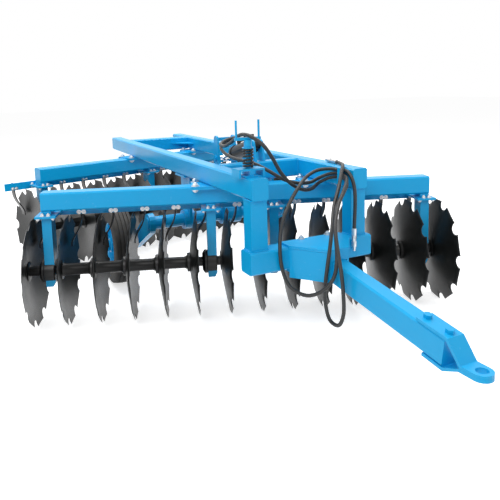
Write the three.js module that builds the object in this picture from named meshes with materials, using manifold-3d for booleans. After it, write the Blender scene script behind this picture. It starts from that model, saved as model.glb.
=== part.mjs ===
// Trailed offset disc harrow. Millimetres, +Z up, ground at z = 0, machine drawn towards -Y.
// Seen from the front, +X is to the right. Two rows of notched discs make an open V.
import * as THREE from 'three';
import { mergeVertices } from 'three/addons/utils/BufferGeometryUtils.js';
import Module from 'manifold-3d';

const wasm = await Module();
wasm.setup();

// ---------------------------------------------------------------- driving dimensions
const gap = 0.3; // left between pieces that are bolted or welded together
const runningGap = 0.5; // radial gap round a turning shaft

// discs and gangs
const discRadius = 330;
const discPitch = 195;
const discDish = 55;
const discThickness = 6;
const discHubRadius = 60;
const notchCount = 10;
const notchRadius = 38;
const discsPerGang = 7;
const spoolRadius = 36;
const shaftSides = 8;
const journalRadius = 30;
const flangeThickness = 14;
const nutRadius = 48;
const nutLength = 26;

// rows
const frontRowAngle = 19.8; // degrees, +X end forward
const rearRowAngle = 15.3; // degrees, +X end back
const frontRowCentre = new THREE.Vector2(0, 30);
const rearRowCentre = new THREE.Vector2(96, 1890);

// gang beams and what hangs from them
const gangBeamSize = 110;
const gangBeamBottom = 698;
const beamCorner = 9;
const hangerOffset = 13; // hanger centre from the middle of its gap, towards the hollow side's back
const hangerWidth = 56;
const hangerDepth = 100;
const hangerFoot = 235; // height of the hanger's lower end
const hangerFlangeThickness = 14;
const hangerPadHeight = 23.4;
const flangeFront = 85;
const flangeRear = 105;
const flangeHalf = 60;
const bearingRadius = 74;
const bearingStand = 34; // housing proud of the hanger on the disc's hollow side
const scraperBarThickness = 12;
const scraperBarHeight = 58;
const scraperBarBottom = 640;
const scraperWidth = 66;
const scraperThickness = 8;
const scraperReach = 60; // shank from the disc's rim plane
const scraperInset = 11; // blade behind the disc's rim plane, inside its hollow
const scraperElbow = 575;
const scraperWristShare = 0.444; // of the disc's radius, above the shaft
const scraperFootShare = 0.329;
const scraperBarEnd = { front: 1235, rear: -1405 };

// main frame
const mainBeamWidth = 95;
const mainBeamHeight = 115;
const clampPlateThickness = 8;
const rightBeamX = -230; // left face of the right main beam
const leftBeamX = 404; // left face of the left main beam
const mainBeamFront = -555;
const mainBeamRear = 2556;
const postSetback = 20;
const postDepth = 88;
const middleMember = [40, 112]; // front and rear face
const rearMember = [2110, 2205];
const cornerGusset = 170;
const gussetThickness = 10;
const clampLength = 260;
const clampMargin = 50; // plate past the gang beam, front and rear
const clampBoltX = 104;
const clampBoltMargin = 25; // bolt's middle past the gang beam's face
const earThickness = 12;
const boltRadius = 11;
const boltHeadRadius = 19;
const boltHead = 16;

// hitch
const hitchBeamPast = [20, 22]; // ends past the main beams' outer faces, right and left
const hitchBeamFront = -562;
const hitchBeamDepth = 118;
const hitchBeamBottom = 424;
const hitchBeamHeight = 120;
const drawbarX = 172;
const drawbarWidth = 90;
const drawbarHeight = 121;
const drawbarDroop = 8.2; // degrees
const drawbarFront = -1521;
const drawbarTopAtFront = 384;
const headHalfWidth = 194;
const headFront = -750;
const headPlate = 12;
const strapThickness = 14;
const upperStrapLength = 165;
const lowerStrapLength = 110;
const tongueSeam = 298; // height of the joint between the two straps on the tongue
const tongueStart = -1598;
const tongueHoleY = -1668;
const tongueHoleRadius = 26;
const tongueEndRadius = 45;

// transport lift
const wheelRadius = 280;
const wheelWidth = 150;
const rimRadius = 165;
const wheelHubRadius = 52;
const wheelHubHalf = 60;
const wheelSides = 24;
const wheelPast = { right: 358, left: 201 }; // wheel's middle past its main beam's outer face
const wheelY = 960;
const rockshaftY = 560;
const rockshaftZ = 500;
const rockshaftRadius = 45;
const liftArmPast = { right: [240, 200], left: [41, 81] };
const liftArmEnd = 8; // rockshaft proud of the arms
const liftCollarRadius = 68;
const axleCollarRadius = 48;
const stubRadius = 24;
const stubNutRadius = 40;
const stubNutLength = 22;
const bracketThickness = 16;
const bracketHalf = 90;

// lift cylinder, points as Y and Z
const cylinderX = 134;
const cylinderBase = new THREE.Vector2(105, 1035);
const leverEye = new THREE.Vector2(600, 902);
const leverTop = 1062;
const leverThickness = 14;
const leverWebHalf = 12;
const leverWebHeight = 24;
const leverWebDrop = 14;
const eyeWidth = 40;
const eyeSideGap = 2;
const eyeRadius = 32;
const pinRadius = 15;
const barrelRadius = 48;
const barrelStart = 38;
const barrelLength = 330; // base pin to gland
const glandStep = 4; // gland wider than the barrel
const leverSideGap = 6; // gland to the lever's plates, which pass it on both sides
const rodRadius = 20;
const rodLength = 331; // eye to inner end
const rodGap = 0.8;
const portPlaces = [58, 86]; // along the barrel from the base pin
const portHeight = 62;
const portReach = 56;
const nippleRadius = 12;

// leveling spring and hose guide
const springX = -192;
const springY = -440;
const springSeatWidth = 150;
const springSeatLength = 90;
const springSeatHeight = 44;
const springTurns = 6;
const springRadius = 26;
const springWire = 5;
const springRodRadius = 14;
const springLength = 105;
const sleeveRadius = 21;
const sleeveLength = 44;
const guideHalf = 66;
const guideRodRadius = 6;
const guideRodLength = 104;
const guideBar = 14;

// hoses, and the hook that carries them on the left main beam
const hoseRadius = 10;
const couplerRadius = 14;
const couplerLength = 88;
const couplerGap = 0.5;
const hookPlace = -460;
const hookLength = 30;
const hookDepth = 32;
const hookPlate = 7;
const hookFloor = 860.5;
const hookLip = 68;

const rad = THREE.MathUtils.degToRad;
const toothHalfAngle = Math.PI / notchCount - Math.asin(notchRadius / discRadius);
const shaftHeight = discRadius * Math.cos(toothHalfAngle);
const gangBeamTop = gangBeamBottom + gangBeamSize;
const mainBeamBottom = gangBeamTop + clampPlateThickness;
const mainBeamTop = mainBeamBottom + mainBeamHeight;
const hitchBeamTop = hitchBeamBottom + hitchBeamHeight;
const rowEnd = (discsPerGang - 1) * discPitch; // outer gap's middle from the row's centre
const scraperWrist = Math.round(shaftHeight + scraperWristShare * discRadius);
const scraperFoot = Math.round(shaftHeight + scraperFootShare * discRadius);
const clampWidth = gangBeamSize + 2 * clampMargin;
const clampBoltY = gangBeamSize / 2 + clampBoltMargin;
const leftBeamOutside = leftBeamX + mainBeamWidth;
const hitchBeamX = [rightBeamX - hitchBeamPast[0], leftBeamOutside + hitchBeamPast[1]];
const wheelX = { right: rightBeamX - wheelPast.right, left: leftBeamOutside + wheelPast.left };
const liftArmX = {
  right: liftArmPast.right.map((x) => rightBeamX - x),
  left: liftArmPast.left.map((x) => leftBeamOutside + x),
};
const hangerPlaces = [-rowEnd, -discPitch, discPitch, rowEnd];

// ---------------------------------------------------------------- colours
const paint = { color: 0x0090d8, roughness: 0.35, metalness: 0.1 };
const discSteel = { color: 0x14161a, roughness: 0.45, metalness: 0.6 };
const zinc = { color: 0xb8bcc0, roughness: 0.35, metalness: 0.9 };
const tyreRubber = { color: 0x1b1b1c, roughness: 0.85, metalness: 0 };
const hoseRubber = { color: 0x1d2021, roughness: 0.6, metalness: 0 };

// ---------------------------------------------------------------- solids
function solidOf(geometry) {
  const bare = geometry.index ? geometry.clone() : mergeVertices(geometry);
  bare.deleteAttribute('normal');
  bare.deleteAttribute('uv');
  const merged = mergeVertices(bare, 1e-3);
  const mesh = new wasm.Mesh({
    numProp: 3,
    vertProperties: new Float32Array(merged.attributes.position.array),
    triVerts: new Uint32Array(merged.index.array),
  });
  return new wasm.Manifold(mesh);
}

function geometryOf(solid) {
  const mesh = solid.getMesh();
  const geometry = new THREE.BufferGeometry();
  geometry.setAttribute('position', new THREE.BufferAttribute(mesh.vertProperties, 3));
  geometry.setIndex(new THREE.BufferAttribute(mesh.triVerts, 1));
  return geometry;
}

function join(...solids) {
  return solids.reduce((whole, piece) => whole.add(piece));
}

function box(x, y, z) {
  const geometry = new THREE.BoxGeometry(x[1] - x[0], y[1] - y[0], z[1] - z[0]);
  geometry.translate((x[0] + x[1]) / 2, (y[0] + y[1]) / 2, (z[0] + z[1]) / 2);
  return solidOf(geometry);
}

// round bar from one point to another
function bar(from, to, radius, sides = 12, turn = 0) {
  const a = new THREE.Vector3(...from);
  const b = new THREE.Vector3(...to);
  const along = b.clone().sub(a);
  const geometry = new THREE.CylinderGeometry(radius, radius, along.length(), sides);
  geometry.rotateY(turn);
  const lie = new THREE.Quaternion().setFromUnitVectors(new THREE.Vector3(0, 1, 0), along.normalize());
  geometry.applyQuaternion(lie);
  geometry.translate((a.x + b.x) / 2, (a.y + b.y) / 2, (a.z + b.z) / 2);
  return solidOf(geometry);
}

// outline drawn in X and Z, carried along Y
function plateXZ(points, y) {
  const shape = new THREE.Shape(points.map(([x, z]) => new THREE.Vector2(x, z)));
  const geometry = new THREE.ExtrudeGeometry(shape, { depth: y[1] - y[0], bevelEnabled: false });
  geometry.rotateX(Math.PI / 2);
  geometry.translate(0, y[1], 0);
  return solidOf(geometry);
}

// outline drawn in Y and Z, carried along X
function plateYZ(points, x) {
  const shape = new THREE.Shape(points.map(([y, z]) => new THREE.Vector2(y, z)));
  const geometry = new THREE.ExtrudeGeometry(shape, { depth: x[1] - x[0], bevelEnabled: false });
  geometry.rotateY(Math.PI / 2);
  geometry.rotateX(Math.PI / 2);
  geometry.translate(x[0], 0, 0);
  return solidOf(geometry);
}

// outline drawn in X and Y, carried up Z
function plateXY(points, z) {
  const shape = new THREE.Shape(points.map(([x, y]) => new THREE.Vector2(x, y)));
  const geometry = new THREE.ExtrudeGeometry(shape, { depth: z[1] - z[0], bevelEnabled: false });
  geometry.translate(0, 0, z[0]);
  return solidOf(geometry);
}

// rectangular tube section with cut corners
function tubeSection(a, b, corner) {
  return [
    [a[0] + corner, b[0]], [a[1] - corner, b[0]], [a[1], b[0] + corner], [a[1], b[1] - corner],
    [a[1] - corner, b[1]], [a[0] + corner, b[1]], [a[0], b[1] - corner], [a[0], b[0] + corner],
  ];
}

// ends of a bar that lies across the machine
const acrossX = (x, y, z) => [[x[0], y, z], [x[1], y, z]];

// bores of flat sides that clear a shaft which turns, or one that is fixed
const runningBore = (radius, sides) => (radius + runningGap) / Math.cos(Math.PI / sides);
const seatBore = (radius, sides) => (radius + gap) / Math.cos(Math.PI / sides);

function arc(centre, radius, from, to, steps) {
  return Array.from({ length: steps + 1 }, (_, i) => {
    const angle = rad(from + ((to - from) * i) / steps);
    return [centre[0] + radius * Math.cos(angle), centre[1] + radius * Math.sin(angle)];
  });
}

// ---------------------------------------------------------------- assembly helpers
const harrow = new THREE.Group();

function add(parent, name, solid, finish) {
  const mesh = new THREE.Mesh(geometryOf(solid), new THREE.MeshStandardMaterial(finish));
  mesh.name = name;
  parent.add(mesh);
  return mesh;
}

// ---------------------------------------------------------------- disc gangs
// Row frame: X along the shaft, Y across and to the rear, Z up. side is +1 where the discs'
// hollow side faces +X and -1 where it faces -X.
// A dished ring whose sides are the straight teeth, with a round notch at each corner.
function dishedDisc(rimX, side) {
  const half = Math.PI / notchCount;
  const corner = shaftHeight / Math.cos(half);
  const eye = journalRadius - 8; // reaches inside the shaft
  const ring = [[eye, -discDish - discThickness], [corner, -discThickness], [corner, 0], [eye, -discDish],
    [eye, -discDish - discThickness]];
  const geometry = new THREE.LatheGeometry(ring.map(([r, x]) => new THREE.Vector2(r, x)), notchCount, half);
  let disc = solidOf(geometry);
  const notchCentre = Math.sqrt(discRadius ** 2 - notchRadius ** 2);
  for (let i = 0; i < notchCount; i += 1) {
    const angle = half * (2 * i + 1);
    const at = [notchCentre * Math.sin(angle), notchCentre * Math.cos(angle)];
    disc = disc.subtract(bar([at[0], -discDish, at[1]], [at[0], discDish, at[1]], notchRadius, 4, angle));
  }
  const laid = geometryOf(disc);
  laid.rotateZ((-side * Math.PI) / 2);
  laid.translate(rimX, 0, shaftHeight);
  return solidOf(laid);
}

// one solid of revolution: end nuts, hubs with their flanges, spools and journals
function gangShaft(rims, side, bearings) {
  const hubs = rims.map((x) => x - side * (discDish + discThickness / 2));
  const gaps = hubs.slice(1).map((x, i) => bearings.some((place) => place > hubs[i] && place < x));
  const flange = (isBearing, facing) => (isBearing && facing === side ? discThickness / 3 : flangeThickness);
  const profile = [[0, hubs[0] - nutLength], [nutRadius, hubs[0] - nutLength]];
  profile.push([nutRadius, hubs[0] - flangeThickness]);
  hubs.forEach((x, i) => {
    const before = i > 0 ? flange(gaps[i - 1], 1) : flangeThickness;
    const after = i < gaps.length ? flange(gaps[i], -1) : flangeThickness;
    if (i > 0) {
      profile.push([gaps[i - 1] ? journalRadius : spoolRadius, x - before]);
    }
    profile.push([discHubRadius, x - before], [discHubRadius, x + after]);
    if (i < gaps.length) {
      profile.push([gaps[i] ? journalRadius : spoolRadius, x + after]);
    }
  });
  const last = hubs[hubs.length - 1];
  profile.push([nutRadius, last + flangeThickness], [nutRadius, last + nutLength], [0, last + nutLength]);
  const geometry = new THREE.LatheGeometry(profile.map(([r, x]) => new THREE.Vector2(r, x)), shaftSides);
  geometry.rotateZ(-Math.PI / 2);
  geometry.translate(0, 0, shaftHeight);
  return solidOf(geometry);
}

function hanger(place, side) {
  const half = hangerWidth / 2;
  const top = gangBeamBottom - gap - hangerPadHeight;
  const chamfer = 14;
  const post = plateXZ(
    [[-half, hangerFoot], [half - chamfer, hangerFoot], [half, hangerFoot + 2 * chamfer],
      [half, top], [-half, top]].map(([x, z]) => [x + place, z]),
    [-hangerDepth / 2, hangerDepth / 2],
  );
  const flange = box(
    [place - flangeHalf, place + flangeHalf],
    [-flangeFront, flangeRear],
    [top - hangerFlangeThickness, top],
  );
  const pad = box(
    [place - half, place + half],
    [-hangerDepth / 2, hangerDepth / 2],
    [top, top + hangerPadHeight],
  );
  const near = place + side * half;
  const far = place - side * (half + bearingStand);
  const housing = bar([far, 0, shaftHeight], [near, 0, shaftHeight], bearingRadius, 12);
  const boreRadius = (journalRadius + runningGap) / Math.cos(Math.PI / shaftSides);
  const boreEnds = [[far - side * 9, 0, shaftHeight], [near + side * 9, 0, shaftHeight]];
  const bore = bar(...boreEnds, boreRadius, shaftSides, Math.PI / shaftSides);
  return join(post, flange, pad, housing).subtract(bore);
}

function scraperBar(ends, rims, side) {
  const y = [flangeRear + gap, flangeRear + gap + scraperBarThickness];
  const top = scraperBarBottom + scraperBarHeight;
  const pieces = [box(ends, y, [scraperBarBottom, top])];
  const shank = [scraperReach - scraperThickness / 2, scraperReach + scraperThickness / 2];
  const blade = [-scraperInset, scraperThickness - scraperInset];
  rims.forEach((rim) => {
    const strip = [
      [shank[0], top - 4], [shank[0], scraperElbow], [blade[0], scraperWrist], [blade[0], scraperFoot],
      [blade[1], scraperFoot], [blade[1], scraperWrist], [shank[1], scraperElbow], [shank[1], top - 4],
    ];
    pieces.push(plateXZ(strip.map(([x, z]) => [rim + side * x, z]), [y[1] - 4, y[1] - 4 + scraperWidth]));
  });
  return join(...pieces);
}

// where the main beams cross a gang beam, measured along it
function mainBeamsAcross(angle, centre) {
  return [rightBeamX, leftBeamX].map((x) => (x + mainBeamWidth / 2 - centre.x) / Math.cos(rad(angle)));
}

function clampPlate(x, z) {
  return box([x - clampLength / 2, x + clampLength / 2], [-clampWidth / 2, clampWidth / 2], z);
}

function clampBolts(x, radius, z) {
  const places = [[-1, -1], [-1, 1], [1, -1], [1, 1]];
  return places.map(([a, b]) => {
    const at = [x + a * clampBoltX, b * clampBoltY];
    return bar([...at, z[0]], [...at, z[1]], radius, 6);
  });
}

function discRow(name, side, angle, centre) {
  const row = new THREE.Group();
  row.position.set(centre.x, centre.y, 0);
  row.rotation.z = -side * rad(angle);
  harrow.add(row);

  const hangers = hangerPlaces.map((x) => x - side * hangerOffset);
  const half = hangerWidth / 2;
  const beamEnds = [hangers[0] - half, hangers[3] + half];
  const tube = plateYZ(
    tubeSection([-gangBeamSize / 2, gangBeamSize / 2], [gangBeamBottom, gangBeamTop], beamCorner),
    beamEnds,
  );
  const crossings = mainBeamsAcross(angle, centre);
  const ears = crossings.map((x) => clampPlate(x, [gangBeamTop - earThickness, gangBeamTop]));
  const holeEnds = [gangBeamTop - 40, gangBeamTop + 10];
  const holes = crossings.flatMap((x) => clampBolts(x, boltRadius + runningGap, holeEnds));
  const drilled = holes.reduce((beam, hole) => beam.subtract(hole), join(tube, ...ears));
  add(row, `${name}_gang_beam`, drilled, paint);
  crossings.forEach((x, i) => {
    const plate = clampPlate(x, [gangBeamTop + gap, mainBeamBottom - gap]);
    const underEars = gangBeamTop - earThickness - gap;
    const bolts = clampBolts(x, boltRadius, [underEars - boltHead, mainBeamBottom + boltHead]);
    const heads = clampBolts(x, boltHeadRadius, [underEars - boltHead, underEars]);
    const nuts = clampBolts(x, boltHeadRadius, [mainBeamBottom - gap - 1, mainBeamBottom + boltHead]);
    add(row, `${name}_clamp_${['right', 'left'][i]}`, join(plate, ...bolts, ...heads, ...nuts), paint);
  });
  hangers.forEach((place, i) => add(row, `${name}_hanger_${i + 1}`, hanger(place, side), paint));

  const rims = Array.from({ length: 2 * discsPerGang }, (_, k) => (k + 0.5 - discsPerGang) * discPitch);
  const gangs = { right: rims.slice(0, discsPerGang), left: rims.slice(discsPerGang) };
  Object.entries(gangs).forEach(([hand, places]) => {
    const discs = places.map((x) => dishedDisc(x, side));
    add(row, `${name}_${hand}_disc_gang`, join(gangShaft(places, side, hangers), ...discs), discSteel);
  });

  const bladed = side > 0 ? rims.slice(0, -1) : rims;
  const barEnds = side > 0 ? [beamEnds[0], scraperBarEnd.front] : [scraperBarEnd.rear, beamEnds[1]];
  add(row, `${name}_scraper_bar`, scraperBar(barEnds, bladed, side), paint);
  return row;
}

discRow('front', 1, frontRowAngle, frontRowCentre);
discRow('rear', -1, rearRowAngle, rearRowCentre);

// ---------------------------------------------------------------- main frame
const mainBeams = { right: rightBeamX, left: leftBeamX };
Object.entries(mainBeams).forEach(([hand, x]) => {
  const section = tubeSection([x, x + mainBeamWidth], [mainBeamBottom, mainBeamTop], beamCorner);
  add(harrow, `main_beam_${hand}`, plateXZ(section, [mainBeamFront, mainBeamRear]), paint);
  const front = mainBeamFront + postSetback;
  const postEnds = [hitchBeamTop + gap, mainBeamBottom - gap];
  const post = box([x, x + mainBeamWidth], [front, front + postDepth], postEnds);
  add(harrow, `front_post_${hand}`, post, paint);
});

const between = [rightBeamX + mainBeamWidth + gap, leftBeamX - gap];

function crossMember(y) {
  return plateYZ(tubeSection(y, [mainBeamBottom, mainBeamTop], beamCorner), between);
}

// two ears that hold the cylinder's base pin on the middle cross member
function cylinderEars() {
  const inside = eyeWidth / 2 + eyeSideGap;
  const foot = mainBeamTop - beamCorner - 1;
  const outline = [[middleMember[0] + 6, foot], [middleMember[1] - beamCorner, foot],
    ...arc([cylinderBase.x, cylinderBase.y], eyeRadius, -20, 160, 8)];
  const ears = [-1, 1].map((hand) => {
    const x = [cylinderX + hand * inside, cylinderX + hand * (inside + leverThickness)];
    return plateYZ(outline, x.sort((p, q) => p - q));
  });
  const reach = inside + leverThickness + 10;
  const heads = [-1, 1].map((hand) => bar(
    [cylinderX + hand * (inside + leverThickness - 1), cylinderBase.x, cylinderBase.y],
    [cylinderX + hand * reach, cylinderBase.x, cylinderBase.y],
    pinRadius + 4,
    10,
  ));
  const pinEnds = [cylinderX - reach, cylinderX + reach];
  const pin = bar(...acrossX(pinEnds, cylinderBase.x, cylinderBase.y), pinRadius, 12);
  return join(...ears, ...heads, pin);
}
add(harrow, 'middle_cross_member', join(crossMember(middleMember), cylinderEars()), paint);

const shelf = plateXY(
  [[between[1] - cornerGusset, rearMember[0] + 1], [between[1], rearMember[0] - cornerGusset],
    [between[1], rearMember[0] + 1]],
  [mainBeamBottom + mainBeamHeight / 2, mainBeamBottom + mainBeamHeight / 2 + gussetThickness],
);
add(harrow, 'rear_cross_member', join(crossMember(rearMember), shelf), paint);

const hitchBeamY = [hitchBeamFront, hitchBeamFront + hitchBeamDepth];
const hitchSection = tubeSection(hitchBeamY, [hitchBeamBottom, hitchBeamTop], beamCorner);
add(harrow, 'hitch_cross_beam', plateYZ(hitchSection, hitchBeamX), paint);

// ---------------------------------------------------------------- drawbar and hitch
const drawbar = new THREE.Group();
drawbar.position.set(drawbarX, drawbarFront, drawbarTopAtFront);
drawbar.rotation.x = rad(drawbarDroop);
drawbar.updateMatrixWorld(true);
harrow.add(drawbar);
const halfDrawbar = drawbarWidth / 2;
const drawbarLength = (hitchBeamFront - 20 - drawbarFront) / Math.cos(rad(drawbarDroop));
const drawbarSection = tubeSection([-halfDrawbar, halfDrawbar], [-drawbarHeight, 0], beamCorner);
add(drawbar, 'drawbar', plateXZ(drawbarSection, [0, drawbarLength]), paint);

function drawbarEnvelope() {
  const grown = box(
    [-halfDrawbar - gap, halfDrawbar + gap],
    [-50, drawbarLength + 2],
    [-drawbarHeight - gap, gap],
  );
  const geometry = geometryOf(grown);
  geometry.applyMatrix4(drawbar.matrix);
  return solidOf(geometry);
}

function drawbarHead() {
  const rear = hitchBeamFront - gap;
  const wide = [drawbarX - headHalfWidth, drawbarX + headHalfWidth];
  const narrow = [drawbarX - halfDrawbar - headPlate, drawbarX + halfDrawbar + headPlate];
  const top = hitchBeamTop + gap + headPlate;
  const bottom = hitchBeamBottom - gap - headPlate;
  const wedge = plateXY([[wide[0], rear], [narrow[0], headFront], [narrow[1], headFront], [wide[1], rear]],
    [bottom - 30, top]);
  const overlap = [rear - 1, hitchBeamFront + hitchBeamDepth * 0.8];
  const plates = join(
    box(wide, overlap, [top - headPlate, top]),
    box(wide, overlap, [bottom, bottom + headPlate]),
  );
  return join(wedge, plates).subtract(drawbarEnvelope());
}
add(harrow, 'drawbar_head', drawbarHead(), paint);

// a point given along and above the drooped drawbar, as Y and Z of the machine
function onDrawbar(y, z) {
  const point = new THREE.Vector3(0, y, z).applyMatrix4(drawbar.matrix);
  return [point.y, point.z];
}

// both straps end in the same tongue outline and share its hole
function strap(profile) {
  const x = [drawbarX - tongueEndRadius, drawbarX + tongueEndRadius];
  const outline = [[x[1], drawbarFront + 200], [x[0], drawbarFront + 200],
    ...arc([drawbarX, tongueHoleY], tongueEndRadius, 180, 360, 12)];
  const hole = bar([drawbarX, tongueHoleY, 0], [drawbarX, tongueHoleY, tongueSeam * 2], tongueHoleRadius, 24);
  return plateYZ(profile, x).intersect(plateXY(outline, [0, tongueSeam * 2])).subtract(hole);
}

const tongueTip = tongueHoleY - tongueEndRadius - 5;
const tongueTop = tongueSeam + gap / 2 + strapThickness;
const tongueUnderside = tongueSeam - gap / 2 - strapThickness;
const upperStrap = strap([
  onDrawbar(upperStrapLength, gap), onDrawbar(upperStrapLength, gap + strapThickness),
  onDrawbar(-12, gap + strapThickness), [tongueStart - 6, tongueTop],
  [tongueTip, tongueTop], [tongueTip, tongueSeam + gap / 2],
  [tongueStart, tongueSeam + gap / 2], onDrawbar(-4, gap),
]);
const underside = -drawbarHeight - gap;
const lowerStrap = strap([
  onDrawbar(lowerStrapLength, underside), onDrawbar(-4, underside),
  [tongueStart, tongueSeam - gap / 2], [tongueTip, tongueSeam - gap / 2],
  [tongueTip, tongueUnderside], [tongueStart + 6, tongueUnderside],
  onDrawbar(-8, underside - strapThickness), onDrawbar(lowerStrapLength, underside - strapThickness),
]);
const strapBolts = [20, 145].map((y) => {
  const foot = onDrawbar(y, gap + 1);
  const head = onDrawbar(y, gap + strapThickness + boltHead);
  return bar([drawbarX, ...foot], [drawbarX, ...head], boltHeadRadius, 6);
});
add(harrow, 'hitch_tongue', join(upperStrap, ...strapBolts), paint);
add(harrow, 'hitch_lower_strap', lowerStrap, paint);

// ---------------------------------------------------------------- transport lift
const rockshaftEnds = [liftArmX.right[0] - liftArmEnd, liftArmX.left[1] + liftArmEnd];

add(harrow, 'rockshaft', bar(...acrossX(rockshaftEnds, rockshaftY, rockshaftZ), rockshaftRadius, 16), paint);

Object.entries(mainBeams).forEach(([hand, x]) => {
  const middle = x + mainBeamWidth / 2;
  const top = mainBeamBottom - gap;
  const web = plateYZ(
    [[rockshaftY + bracketHalf, top], [rockshaftY - bracketHalf, top],
      ...arc([rockshaftY, rockshaftZ], liftCollarRadius, 180, 360, 12)],
    [middle - bracketThickness / 2, middle + bracketThickness / 2],
  );
  const flangeY = [rockshaftY - bracketHalf, rockshaftY + bracketHalf];
  const flange = box([x, x + mainBeamWidth], flangeY, [top - 12, top]);
  const bossEnds = [middle - 35, middle + 35];
  const boss = bar(...acrossX(bossEnds, rockshaftY, rockshaftZ), liftCollarRadius, 16);
  const bore = bar(...acrossX([x - 9, x + mainBeamWidth + 9], rockshaftY, rockshaftZ),
    runningBore(rockshaftRadius, 16), 16, Math.PI / 16);
  add(harrow, `rockshaft_bracket_${hand}`, join(web, flange, boss).subtract(bore), paint);
});

const wheelZ = wheelRadius;

// outline round two circles, the first round the shaft and the second round the far pin
function armOutline(a, radiusA, b, radiusB) {
  const lie = THREE.MathUtils.radToDeg(Math.atan2(b[1] - a[1], b[0] - a[0]));
  return [...arc(a, radiusA, lie + 90, lie + 270, 8), ...arc(b, radiusB, lie - 90, lie + 90, 8)];
}

Object.entries(liftArmX).forEach(([hand, x]) => {
  const out = hand === 'left' ? 1 : -1;
  const centre = wheelX[hand];
  const plate = plateYZ(
    armOutline([rockshaftY, rockshaftZ], liftCollarRadius, [wheelY, wheelZ], axleCollarRadius),
    x,
  );
  const seat = bar(...acrossX([x[0] - 9, x[1] + 9], rockshaftY, rockshaftZ),
    seatBore(rockshaftRadius, 16), 16, Math.PI / 16);
  const hubEnd = centre + out * (wheelHubHalf + 2);
  const stub = bar([(x[0] + x[1]) / 2, wheelY, wheelZ], [hubEnd + out, wheelY, wheelZ], stubRadius, 12);
  const nutEnds = [hubEnd, hubEnd + out * stubNutLength];
  const nut = bar(...acrossX(nutEnds, wheelY, wheelZ), stubNutRadius, 12);
  add(harrow, `lift_arm_${hand}`, join(plate.subtract(seat), stub, nut), paint);
  addWheel(`wheel_${hand}`, centre);
});

function turned(profile, sides, x) {
  const geometry = new THREE.LatheGeometry(profile.map(([r, along]) => new THREE.Vector2(r, along)), sides);
  geometry.rotateZ(-Math.PI / 2);
  geometry.translate(x, wheelY, wheelZ);
  return solidOf(geometry);
}

function addWheel(name, x) {
  const tread = wheelWidth / 2;
  const seat = tread - 20;
  const bead = rimRadius + gap;
  const tyre = [
    [bead, -seat], [bead + 30, -tread], [wheelRadius - 30, -tread], [wheelRadius - 8, -tread + 18],
    [wheelRadius, -tread / 3], [wheelRadius, tread / 3], [wheelRadius - 8, tread - 18],
    [wheelRadius - 30, tread], [bead + 30, tread], [bead, seat], [bead, -seat],
  ];
  add(harrow, `${name}_tyre`, turned(tyre, wheelSides, x), tyreRubber);
  const bore = runningBore(stubRadius, wheelSides);
  const band = rimRadius - 12;
  const web = 8;
  const rim = [[bore, -wheelHubHalf], [wheelHubRadius, -wheelHubHalf], [wheelHubRadius, -web], [band, -web],
    [band, -seat], [rimRadius, -seat], [rimRadius, seat], [band, seat], [band, web],
    [wheelHubRadius, web], [wheelHubRadius, wheelHubHalf], [bore, wheelHubHalf], [bore, -wheelHubHalf]];
  add(harrow, `${name}_rim`, turned(rim, wheelSides, x), paint);
}

// ---------------------------------------------------------------- lift lever and cylinder
const leverInside = barrelRadius + glandStep + leverSideGap;
const leverOutside = leverInside + leverThickness;

function liftLever() {
  const plates = [-1, 1].map((hand) => {
    const x = [cylinderX + hand * leverInside, cylinderX + hand * leverOutside];
    return plateYZ(
      armOutline([rockshaftY, rockshaftZ], liftCollarRadius, [leverEye.x, leverTop - eyeRadius], eyeRadius),
      x.sort((p, q) => p - q),
    );
  });
  const outside = [cylinderX - leverOutside, cylinderX + leverOutside];
  const collar = bar(...acrossX(outside, rockshaftY, rockshaftZ), liftCollarRadius, 16);
  const seat = bar(...acrossX([outside[0] - 9, outside[1] + 9], rockshaftY, rockshaftZ),
    seatBore(rockshaftRadius, 16), 16, Math.PI / 16);
  const web = box(
    [outside[0] + 1, outside[1] - 1],
    [leverEye.x - leverWebHalf, leverEye.x + leverWebHalf],
    [leverTop - leverWebDrop - leverWebHeight, leverTop - leverWebDrop],
  );
  const heads = [-1, 1].map((hand) => bar(
    [cylinderX + hand * (leverOutside - 1), leverEye.x, leverEye.y],
    [cylinderX + hand * (leverOutside + 10), leverEye.x, leverEye.y],
    pinRadius + 4,
    10,
  ));
  return join(...plates, collar, web, ...heads).subtract(seat);
}
add(harrow, 'lift_lever', liftLever(), paint);

// Cylinder frame: Y along the rod from the base pin to the eye, X across.
const stroke = leverEye.clone().sub(cylinderBase);
const cylinder = new THREE.Group();
cylinder.position.set(cylinderX, cylinderBase.x, cylinderBase.y);
cylinder.rotation.x = Math.atan2(stroke.y, stroke.x);
harrow.add(cylinder);
const eyeEnds = [-eyeWidth / 2, eyeWidth / 2];

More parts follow.
